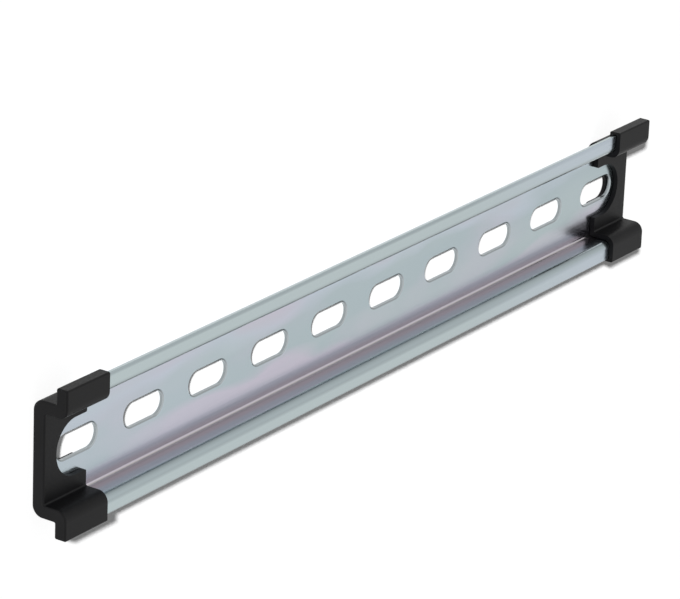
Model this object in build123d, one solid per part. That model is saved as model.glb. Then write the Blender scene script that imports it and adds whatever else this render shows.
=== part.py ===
from build123d import *
import os

# Top-hat mounting rail, 35 mm by 7.5 mm, with a moulded cap pushed over each end.
# X runs along the rail, Y across it and Z out of the channel's mouth.
# Z = 0 is the plane that the backs of the two caps rest on, all sizes in mm.

# Rail, rolled from one strip of steel
rail_length = 250.0
rail_width = 35.0
rail_depth = 7.5
channel_width = 27.0
strip_thickness = 1.0
bend_inner_radius = 0.8
strip_edge_radius = 0.2

# Punched slots, in one row along the middle of the web, with their rims drawn down by the punch
slot_length = 15.0
slot_width = 6.2
slot_pitch = 25.0
slot_end_distance = 12.5
rim_width = 0.35
rim_depth = 0.25

# End cap, a moulded sleeve that follows the rail's section inside and out
cap_clearance = 0.1
cap_reach = 14.4
cap_end_wall = 0.95
cap_back_wall = 0.9
cap_side_wall = 0.75
cap_front_wall = 1.15
cap_lining = 1.3
cap_mouth_corner_radius = 2.6
cap_lip_edge_radius = 0.45
cap_under_lip_radius = 0.3
cap_lining_corner_radius = 0.5
cap_end_radius = 0.4

# Cut-outs in the cap that leave the last slot of the rail open, from the front and from the back
front_cutout_width = 14.2
front_cutout_margin = 1.6
front_arm_tip_radius = 0.4
back_notch_width = 7.0
back_notch_overlap = 0.65
back_notch_mouth_radius = 1.4

# Cutting tools run this far past the faces that they open, and points this close are the same one
overrun = 1.0
tiny = 1e-6

# Heights and half-widths of the rail's section
web_back = cap_back_wall + cap_clearance
web_front = web_back + strip_thickness
web_middle = (web_back + web_front) / 2
flange_front = web_back + rail_depth
flange_back = flange_front - strip_thickness
wall_outside = channel_width / 2
wall_inside = wall_outside - strip_thickness
flange_edge = rail_width / 2
bend_outer_radius = bend_inner_radius + strip_thickness
cap_back_corner_radius = bend_outer_radius + cap_clearance + cap_back_wall

# Stations along the rail
rail_end = rail_length / 2
cap_outer_end = rail_end + cap_end_wall
cap_open_end = rail_end - cap_reach
slot_gaps = int((rail_length - 2 * slot_end_distance) / slot_pitch + tiny)
slot_stations = [(i - slot_gaps / 2) * slot_pitch for i in range(slot_gaps + 1)]
last_slot_end = slot_stations[-1] + slot_length / 2


def hat_section(web, walls, flanges, radii):
    """A top-hat outline in the YZ plane, as a filled face.

    web, walls and flanges are (back, front), (outside, inside) and (edge, back, front).
    radii are those of the six corners from the web's back to its front.
    """
    right = [
        (walls[0], web[0]),
        (walls[0], flanges[1]),
        (flanges[0], flanges[1]),
        (flanges[0], flanges[2]),
        (walls[1], flanges[2]),
        (walls[1], web[1]),
    ]
    left = [(-y, z) for y, z in reversed(right)]
    outline = make_face(Polyline(*right, *left, close=True))
    for (y, z), radius in zip(right, radii):
        pair = [v for v in outline.vertices() if abs(abs(v.X) - y) < tiny and abs(v.Y - z) < tiny]
        outline = fillet(pair, radius)
    return Plane.YZ * outline


def grown_hat(back, sides, front, inside, under_flange, radii):
    """The rail's section with each of its faces moved outwards by the amount given for it."""
    return hat_section(
        (web_back - back, web_front + inside),
        (wall_outside + sides, wall_inside - inside),
        (flange_edge + sides, flange_back - under_flange, flange_front + front),
        radii,
    )


def slot_tool(station):
    """The punch that cuts one slot through the web."""
    outline = Pos(station, 0, web_middle) * SlotOverall(slot_length, slot_width)
    return extrude(outline, strip_thickness, both=True)


def make_rail():
    """The rolled strip with its slots, their rims bevelled on the web's front."""
    bends = [
        bend_outer_radius,
        bend_inner_radius,
        strip_edge_radius,
        strip_edge_radius,
        bend_outer_radius,
        bend_inner_radius,
    ]
    rail = extrude(grown_hat(0, 0, 0, 0, 0, bends), rail_length / 2, both=True)
    rail -= [slot_tool(station) for station in slot_stations]
    level_faces = rail.faces().filter_by(Axis.Z)
    web_face = level_faces.filter_by_position(Axis.Z, web_middle, flange_back, inclusive=(False, False))[0]
    rims = [edge for wire in web_face.inner_wires() for edge in wire.edges()]
    return chamfer(rims, rim_width, rim_depth, reference=web_face)


def mouth_tool(width, deep_end, mouth_radius, low, high):
    """A round-ended tool that comes in from the cap's open end, between two heights.

    Past the open end it widens over the whole cap, with a round of mouth_radius on each side.
    """
    radius = width / 2
    inner = deep_end - radius
    beyond = Pos(cap_open_end - overrun, 0) * Rectangle(2 * overrun, rail_width)
    outline = Pos(inner, 0) * Circle(radius)
    outline += Pos((inner + cap_open_end) / 2, 0) * Rectangle(inner - cap_open_end, width)
    outline += beyond
    lowest, highest = cap_open_end - overrun / 2, inner
    corners = outline.vertices().filter_by_position(Axis.X, lowest, highest, inclusive=(False, False))
    return Pos(0, 0, low) * extrude(fillet(corners, mouth_radius), high - low)


def make_cap():
    """The cap on the rail's +X end."""
    outer_radii = [
        cap_back_corner_radius,
        cap_under_lip_radius,
        cap_lip_edge_radius,
        cap_lip_edge_radius,
        cap_mouth_corner_radius,
        cap_lining_corner_radius,
    ]
    pocket_radii = [
        bend_outer_radius + cap_clearance,
        bend_inner_radius - cap_clearance,
        strip_edge_radius + cap_clearance,
        strip_edge_radius + cap_clearance,
        bend_outer_radius + cap_clearance,
        bend_inner_radius - cap_clearance,
    ]
    c = cap_clearance
    sleeve = grown_hat(
        back=c + cap_back_wall,
        sides=c + cap_side_wall,
        front=c + cap_front_wall,
        inside=c + cap_lining,
        under_flange=c + cap_back_wall,
        radii=outer_radii,
    )
    pocket = grown_hat(c, c, c, c, c, pocket_radii)
    cap = Pos(cap_open_end, 0, 0) * extrude(sleeve, cap_outer_end - cap_open_end)
    end_face = cap.faces().sort_by(Axis.X)[-1]
    cap = fillet(end_face.outer_wire().edges(), cap_end_radius)
    cap -= Pos(cap_open_end - overrun, 0, 0) * extrude(pocket, rail_end - cap_open_end + overrun)
    front_end = last_slot_end + front_cutout_margin
    cap -= mouth_tool(front_cutout_width, front_end, front_arm_tip_radius, web_middle, flange_back)
    back_end = last_slot_end - back_notch_overlap
    cap -= mouth_tool(back_notch_width, back_end, back_notch_mouth_radius, -overrun, web_middle)
    return cap


os.makedirs("parts", exist_ok=True)
cap_right = make_cap()
parts = {
    "mounting_rail": make_rail(),
    "end_cap_right": cap_right,
    "end_cap_left": cap_right.rotate(Axis.Z, 180),
}
for name, solid in parts.items():
    export_step(solid, f"parts/{name}.step")
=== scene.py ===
import math

import bpy
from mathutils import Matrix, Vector


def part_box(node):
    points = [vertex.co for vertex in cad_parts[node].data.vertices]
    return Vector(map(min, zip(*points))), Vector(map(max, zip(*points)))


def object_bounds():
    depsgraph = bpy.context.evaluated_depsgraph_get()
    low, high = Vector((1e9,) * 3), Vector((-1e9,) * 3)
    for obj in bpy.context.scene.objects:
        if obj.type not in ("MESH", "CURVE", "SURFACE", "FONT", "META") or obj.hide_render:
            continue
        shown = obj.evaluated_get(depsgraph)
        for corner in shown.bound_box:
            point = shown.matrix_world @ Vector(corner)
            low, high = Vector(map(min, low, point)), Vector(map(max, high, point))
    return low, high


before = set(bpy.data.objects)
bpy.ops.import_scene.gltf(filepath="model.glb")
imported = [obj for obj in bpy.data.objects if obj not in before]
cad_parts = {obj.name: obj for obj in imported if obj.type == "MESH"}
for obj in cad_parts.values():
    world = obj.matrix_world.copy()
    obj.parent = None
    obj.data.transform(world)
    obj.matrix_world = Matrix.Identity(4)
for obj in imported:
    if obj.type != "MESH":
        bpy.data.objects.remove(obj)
cad_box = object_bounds()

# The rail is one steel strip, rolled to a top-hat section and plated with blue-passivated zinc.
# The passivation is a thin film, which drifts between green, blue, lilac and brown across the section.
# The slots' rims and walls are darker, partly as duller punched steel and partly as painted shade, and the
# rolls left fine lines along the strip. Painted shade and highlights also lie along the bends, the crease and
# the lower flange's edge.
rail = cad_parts["mounting_rail"]
rail_low, rail_high = (Vector(corner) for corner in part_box("mounting_rail"))
mm = 0.001
strip_thickness = 1.0 * mm
web_back = rail_low.z
web_front = web_back + strip_thickness
half_width = rail_high.y
slot_half_width = 3.1 * mm
slot_rim = 0.4 * mm

# The film's hues, then a painted shade line, painted highlights on the lower bend and on the crease, and the
# cut edges' colour, which is partly painted shade
green_film = (0.445, 0.515, 0.525)
grey_film = (0.400, 0.475, 0.500)
sky_film = (0.475, 0.530, 0.600)
lilac_film = (0.520, 0.492, 0.570)
brown_film = (0.430, 0.400, 0.405)
teal_film = (0.400, 0.455, 0.480)
painted_shade_line = (0.325, 0.380, 0.395)
painted_highlight_line = (0.500, 0.565, 0.600)
painted_crease_highlight = (0.580, 0.550, 0.570)
cut_steel_and_shade = (0.310, 0.340, 0.352)

# Each stop is a distance out from the middle of the section, in millimetres, with the film there.
# The web runs to about 12, the wall to 17, its bend to 21 and the flange to 24. Below 0 is the lower half.
# The colour ramp that they stand on reaches a little further out, as far as film_reach.
film_across = [
    # painted shade along the lower flange's outer edge
    (-23.9, cut_steel_and_shade),
    (-23.6, green_film),
    (-21.7, green_film),
    # painted shade across the lower bend
    (-20.8, painted_shade_line),
    (-18.4, painted_shade_line),
    # a painted highlight where the lower wall turns into its bend
    (-17.8, painted_highlight_line),
    (-17.4, painted_highlight_line),
    (-16.6, teal_film),
    (-15.8, teal_film),
    (-14.6, brown_film),
    (-13.3, brown_film),
    # a painted highlight along the lower crease
    (-13.1, painted_crease_highlight),
    (-12.8, painted_crease_highlight),
    (-12.6, brown_film),
    (-11.6, lilac_film),
    (-8.0, lilac_film),
    (-5.0, grey_film),
    (5.0, grey_film),
    (8.5, sky_film),
    (11.5, lilac_film),
    (13.5, teal_film),
    (17.2, teal_film),
    (19.0, green_film),
    (22.8, green_film),
    # a painted shade line near the upper flange's outer edge
    (23.4, painted_shade_line),
    (23.8, painted_shade_line),
    (24.0, green_film),
]
film_reach = 25.0

# Where the film changes along and across the rail, and by how much of the other colour
web_fades = (7.5 * mm, 11.5 * mm)
flange_starts = (19.5 * mm, 21.5 * mm)
left_stretch = (-100 * mm, -20 * mm)
right_stretch = (30 * mm, 110 * mm)
# the web's lighter blue at the left end is partly painted reflection
left_tint_and_reflection = 0.3
blue_at_right = 0.75
most_lilac = 0.55
most_green = 0.50
drift_reach = 3.5 * mm

# The film's drift and patches and the rolling lines, in waves per metre along X, Y and Z
drift_waves = (22.0, 60.0, 60.0)
lilac_waves = (26.0, 55.0, 55.0)
green_waves = (15.0, 90.0, 90.0)
rolling_waves = (45.0, 3000.0, 3000.0)
coarse_detail = 2.0
fine_detail = 3.0

# The parts of a noise's range that are used: most of it, and only its peaks
most_of_noise = (0.3, 0.7)
peaks_of_noise = (0.45, 0.72)

zinc_roughness = (0.19, 0.26)
rolling_relief = 0.05
relief_depth = 0.1 * mm

# How far inside a face a point may lie and still be on it
edge_skin = 0.03 * mm
face_skin = 0.01 * mm


def new_material(name):
    """An empty node material, with its output node."""
    material = bpy.data.materials.new(name)
    material.use_nodes = True
    tree = material.node_tree
    tree.nodes.clear()
    return material, tree, tree.nodes.new("ShaderNodeOutputMaterial")


def worked_out(tree, operation, first, second=0.0):
    """The output of a math node. first and second are numbers or other nodes' outputs."""
    node = tree.nodes.new("ShaderNodeMath")
    node.operation = operation
    for socket, value in zip(node.inputs, (first, second)):
        if isinstance(value, bpy.types.NodeSocket):
            tree.links.new(value, socket)
        else:
            socket.default_value = value
    return node.outputs["Value"]


def rescaled(tree, value, from_range, to_range):
    """A value carried from one range to another, with smooth ends."""
    node = tree.nodes.new("ShaderNodeMapRange")
    node.interpolation_type = "SMOOTHSTEP"
    tree.links.new(value, node.inputs["Value"])
    node.inputs["From Min"].default_value, node.inputs["From Max"].default_value = from_range
    node.inputs["To Min"].default_value, node.inputs["To Max"].default_value = to_range
    return node.outputs["Result"]


def mixed(tree, amount, first, second):
    """The output of a colour mix. Each colour is three numbers or another node's output."""
    node = tree.nodes.new("ShaderNodeMix")
    node.data_type = "RGBA"
    first_colour, second_colour, mixed_colour = node.inputs[6], node.inputs[7], node.outputs[2]
    tree.links.new(amount, node.inputs["Factor"])
    for socket, value in ((first_colour, first), (second_colour, second)):
        if isinstance(value, bpy.types.NodeSocket):
            tree.links.new(value, socket)
        else:
            socket.default_value = (*value, 1)
    return mixed_colour


def relieved(tree, height, strength):
    """The normal of a surface with a very slight relief."""
    bump = tree.nodes.new("ShaderNodeBump")
    bump.inputs["Strength"].default_value = strength
    bump.inputs["Distance"].default_value = relief_depth
    tree.links.new(height, bump.inputs["Height"])
    return bump.outputs["Normal"]


def grain_group():
    """Noise over the object's own coordinates, as an effect that both materials use."""
    group = bpy.data.node_groups.new("Grain", "ShaderNodeTree")
    group.interface.new_socket("Waves per metre", in_out="INPUT", socket_type="NodeSocketVector")
    group.interface.new_socket("Detail", in_out="INPUT", socket_type="NodeSocketFloat")
    group.interface.new_socket("Grain", in_out="OUTPUT", socket_type="NodeSocketFloat")
    given = group.nodes.new("NodeGroupInput")
    result = group.nodes.new("NodeGroupOutput")
    place = group.nodes.new("ShaderNodeTexCoord")
    waves = group.nodes.new("ShaderNodeVectorMath")
    waves.operation = "MULTIPLY"
    noise = group.nodes.new("ShaderNodeTexNoise")
    noise.inputs["Scale"].default_value = 1.0
    group.links.new(place.outputs["Object"], waves.inputs[0])
    group.links.new(given.outputs["Waves per metre"], waves.inputs[1])
    group.links.new(waves.outputs["Vector"], noise.inputs["Vector"])
    group.links.new(given.outputs["Detail"], noise.inputs["Detail"])
    group.links.new(noise.outputs["Fac"], result.inputs["Grain"])
    return group


grain = grain_group()


def grained(tree, waves, detail):
    """The grain group, placed in a material with its own waves per metre along X, Y and Z."""
    node = tree.nodes.new("ShaderNodeGroup")
    node.node_tree = grain
    node.inputs["Waves per metre"].default_value = waves
    node.inputs["Detail"].default_value = detail
    return node.outputs["Grain"]


def film_ramp(tree, way_round):
    """The film's colour, with painted shade and highlights, at a distance from the middle of the section,
    below 0 on the lower half.
    """
    ramp = tree.nodes.new("ShaderNodeValToRGB")
    reach = film_reach * mm
    ramp_place = worked_out(tree, "DIVIDE", worked_out(tree, "ADD", way_round, reach), 2 * reach)
    tree.links.new(ramp_place, ramp.inputs["Fac"])
    stops = ramp.color_ramp.elements
    stops.remove(stops[1])
    stops[0].color = (*film_across[0][1], 1)
    for out, shade in film_across:
        stops.new((out + film_reach) / (2 * film_reach)).color = (*shade, 1)
    return ramp.outputs["Color"]


def zinc_material():
    """Blue-passivated zinc on rolled strip, with painted shade and highlights at the bends, the crease, the
    edges and the slots.
    """
    material, tree, output = new_material("Zinc plated steel")
    metal = tree.nodes.new("ShaderNodeBsdfPrincipled")
    metal.inputs["Metallic"].default_value = 1.0
    tree.links.new(metal.outputs["BSDF"], output.inputs["Surface"])
    place = tree.nodes.new("ShaderNodeTexCoord")
    axes = tree.nodes.new("ShaderNodeSeparateXYZ")
    tree.links.new(place.outputs["Object"], axes.inputs["Vector"])

    # the way round the section, out from the middle of the web, which wanders on the web alone
    off_middle = worked_out(tree, "ABSOLUTE", axes.outputs["Y"])
    above_web = worked_out(tree, "SUBTRACT", axes.outputs["Z"], web_front)
    way_out = worked_out(tree, "ADD", off_middle, above_web)
    side = worked_out(tree, "SIGN", axes.outputs["Y"])
    on_web = rescaled(tree, way_out, web_fades, (1.0, 0.0))
    drift_noise = grained(tree, drift_waves, coarse_detail)
    drift = rescaled(tree, drift_noise, most_of_noise, (-drift_reach, drift_reach))
    wander = worked_out(tree, "MULTIPLY", drift, on_web)
    way_round = worked_out(tree, "ADD", worked_out(tree, "MULTIPLY", way_out, side), wander)
    colour = film_ramp(tree, way_round)

    # slow patches along the web, where the film is thicker and turns lilac, or thinner and turns green
    thicker = rescaled(tree, grained(tree, lilac_waves, fine_detail), peaks_of_noise, (0.0, most_lilac))
    thinner = rescaled(tree, grained(tree, green_waves, fine_detail), peaks_of_noise, (0.0, most_green))
    colour = mixed(tree, worked_out(tree, "MULTIPLY", thicker, on_web), colour, lilac_film)
    colour = mixed(tree, worked_out(tree, "MULTIPLY", thinner, on_web), colour, green_film)

    # the film is bluer on the flanges towards the right end, and the web is lighter and bluer towards the
    # left end, partly the film's tint and partly painted reflection of the brighter sky it mirrors there
    leftwards = rescaled(tree, axes.outputs["X"], left_stretch, (left_tint_and_reflection, 0.0))
    rightwards = rescaled(tree, axes.outputs["X"], right_stretch, (0.0, blue_at_right))
    on_flange = rescaled(tree, way_out, flange_starts, (0.0, 1.0))
    web_tint_and_reflection = worked_out(tree, "MULTIPLY", leftwards, on_web)
    bluer_flange = worked_out(tree, "MULTIPLY", rightwards, on_flange)
    colour = mixed(tree, worked_out(tree, "ADD", web_tint_and_reflection, bluer_flange), colour, sky_film)

    # the two long edges of the strip are plated too, and the slots' rims and walls are darkened, partly as
    # duller punched steel and partly as painted shade
    edge_face = worked_out(tree, "GREATER_THAN", off_middle, half_width - edge_skin)
    colour = mixed(tree, edge_face, colour, green_film)
    near_slot = worked_out(tree, "LESS_THAN", off_middle, slot_half_width + slot_rim)
    below_front = worked_out(tree, "LESS_THAN", axes.outputs["Z"], web_front - face_skin)
    over_back = worked_out(tree, "GREATER_THAN", axes.outputs["Z"], web_back + face_skin)
    between_faces = worked_out(tree, "MULTIPLY", below_front, over_back)
    cut_and_shaded_slot_walls = worked_out(tree, "MULTIPLY", near_slot, between_faces)
    tree.links.new(mixed(tree, cut_and_shaded_slot_walls, colour, cut_steel_and_shade), metal.inputs["Base Color"])

    # rolling lines, seen in the gloss and as a very slight relief
    lines = grained(tree, rolling_waves, fine_detail)
    tree.links.new(rescaled(tree, lines, most_of_noise, zinc_roughness), metal.inputs["Roughness"])
    tree.links.new(relieved(tree, lines, rolling_relief), metal.inputs["Normal"])
    return material


rail.data.materials.clear()
rail.data.materials.append(zinc_material())

# The two end caps are one moulding in black plastic, with a fine eroded texture from the mould.
# Each is pushed over the rail's end and held there by its close fit on the section.
caps = [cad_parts["end_cap_left"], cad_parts["end_cap_right"]]
plain_black = (0.0014, 0.0014, 0.0016)
flowed_black = (0.0024, 0.0024, 0.0027)
flow_waves = (90.0, 90.0, 90.0)
erosion_waves = (4000.0, 4000.0, 4000.0)
cap_roughness = (0.40, 0.52)
erosion_relief = 0.12


def cap_material():
    """Black moulded plastic, satin, with the mould's fine grain."""
    material, tree, output = new_material("Black cap plastic")
    plastic = tree.nodes.new("ShaderNodeBsdfPrincipled")
    plastic.inputs["IOR"].default_value = 1.5
    plastic.inputs["Specular IOR Level"].default_value = 0.16
    tree.links.new(plastic.outputs["BSDF"], output.inputs["Surface"])

    # the black varies very slightly where the plastic flowed and cooled
    flow = rescaled(tree, grained(tree, flow_waves, fine_detail), most_of_noise, (0.0, 1.0))
    tree.links.new(mixed(tree, flow, plain_black, flowed_black), plastic.inputs["Base Color"])

    erosion = grained(tree, erosion_waves, coarse_detail)
    tree.links.new(rescaled(tree, erosion, most_of_noise, cap_roughness), plastic.inputs["Roughness"])
    tree.links.new(relieved(tree, erosion, erosion_relief), plastic.inputs["Normal"])
    return material


black_plastic = cap_material()
for cap in caps:
    cap.data.materials.clear()
    cap.data.materials.append(black_plastic)

# The floor is a white sheet that the rail lies on, with its open side up.
# It shows as white to the camera and in the metal, and keeps the rail's shadow.
floor_size = 4.0
paper_white = 0.9
lift_to_white = 0.09
bpy.ops.object.select_all(action="DESELECT")
bpy.ops.mesh.primitive_plane_add(size=floor_size, location=(0, 0, cad_box[0][2]))
floor = bpy.context.object
floor.name = "white_floor"


def seen_directly(tree):
    """1 for a ray from the camera or by way of a reflection or a pane, and 0 for light that spreads."""
    path = tree.nodes.new("ShaderNodeLightPath")
    mirrored = worked_out(tree, "MAXIMUM", path.outputs["Is Glossy Ray"], path.outputs["Is Transmission Ray"])
    return worked_out(tree, "MAXIMUM", path.outputs["Is Camera Ray"], mirrored)


def floor_material():
    """White paper, lifted a little where it is looked at, so that it reaches plain white."""
    material, tree, output = new_material("White floor")
    paper = tree.nodes.new("ShaderNodeBsdfDiffuse")
    paper.inputs["Color"].default_value = (paper_white, paper_white, paper_white, 1)
    lift = tree.nodes.new("ShaderNodeEmission")
    tree.links.new(worked_out(tree, "MULTIPLY", seen_directly(tree), lift_to_white), lift.inputs["Strength"])
    together = tree.nodes.new("ShaderNodeAddShader")
    tree.links.new(paper.outputs["BSDF"], together.inputs[0])
    tree.links.new(lift.outputs["Emission"], together.inputs[1])
    tree.links.new(together.outputs["Shader"], output.inputs["Surface"])
    return material


floor.data.materials.append(floor_material())

# The studio is brightest overhead and greyer towards the horizon, which is what the metal mirrors.
# What lights the object is a dim, even sky and one soft lamp, which shines from beside the camera
# and throws a narrow shadow to the rail's lower right.
ambient = 0.12
horizon_grey = 0.55
horizon_band = (-0.05, 0.56)
overhead_band = (0.55, 0.85)
overhead_glow = 0.35
world = bpy.data.worlds.new("Studio")
bpy.context.scene.world = world
world.use_nodes = True
sky_tree = world.node_tree
sky = sky_tree.nodes["Background"]
sky_place = sky_tree.nodes.new("ShaderNodeTexCoord")
sky_axes = sky_tree.nodes.new("ShaderNodeSeparateXYZ")
sky_tree.links.new(sky_place.outputs["Generated"], sky_axes.inputs["Vector"])
sky_path = sky_tree.nodes.new("ShaderNodeLightPath")
mirrored_sky = rescaled(sky_tree, sky_axes.outputs["Z"], horizon_band, (horizon_grey, 1.0))
overhead = rescaled(sky_tree, sky_axes.outputs["Z"], overhead_band, (0.0, overhead_glow))
mirrored_sky = worked_out(sky_tree, "ADD", mirrored_sky, overhead)
shown_sky = worked_out(sky_tree, "MAXIMUM", mirrored_sky, sky_path.outputs["Is Camera Ray"])
seen_sky = worked_out(sky_tree, "MULTIPLY", shown_sky, seen_directly(sky_tree))
sky_tree.links.new(worked_out(sky_tree, "MAXIMUM", seen_sky, ambient), sky.inputs["Strength"])
sky.inputs["Color"].default_value = (1.0, 1.0, 1.0, 1)

lamp_direction = Vector((-1.68, 0.895, 1.0))
lamp_light = bpy.data.lights.new("Soft lamp", "SUN")
lamp_light.energy = 6.2
lamp_light.angle = math.radians(3.5)
lamp = bpy.data.objects.new("Soft lamp", lamp_light)
bpy.context.collection.objects.link(lamp)
lamp.rotation_euler = lamp_direction.to_track_quat("Z", "Y").to_euler()
lamp.visible_glossy = False

# The camera stands past the rail's left end and above it, on the side of its upper flange.
# Its lens is a long one, so the rail's two ends look nearly the same size.
camera_place = Vector((-0.79274, 0.36521, 0.53096))
camera_angles = (math.radians(-24.0207), math.radians(-55.1276), math.radians(3.7834))
lens = bpy.data.cameras.new("Camera")
lens.sensor_fit = "HORIZONTAL"
lens.sensor_width = 36.0
lens.lens = 218.1
camera = bpy.data.objects.new("Camera", lens)
bpy.context.collection.objects.link(camera)
camera.location = camera_place
camera.rotation_euler = camera_angles
bpy.context.scene.camera = camera
bpy.context.scene.view_settings.view_transform = "Standard"
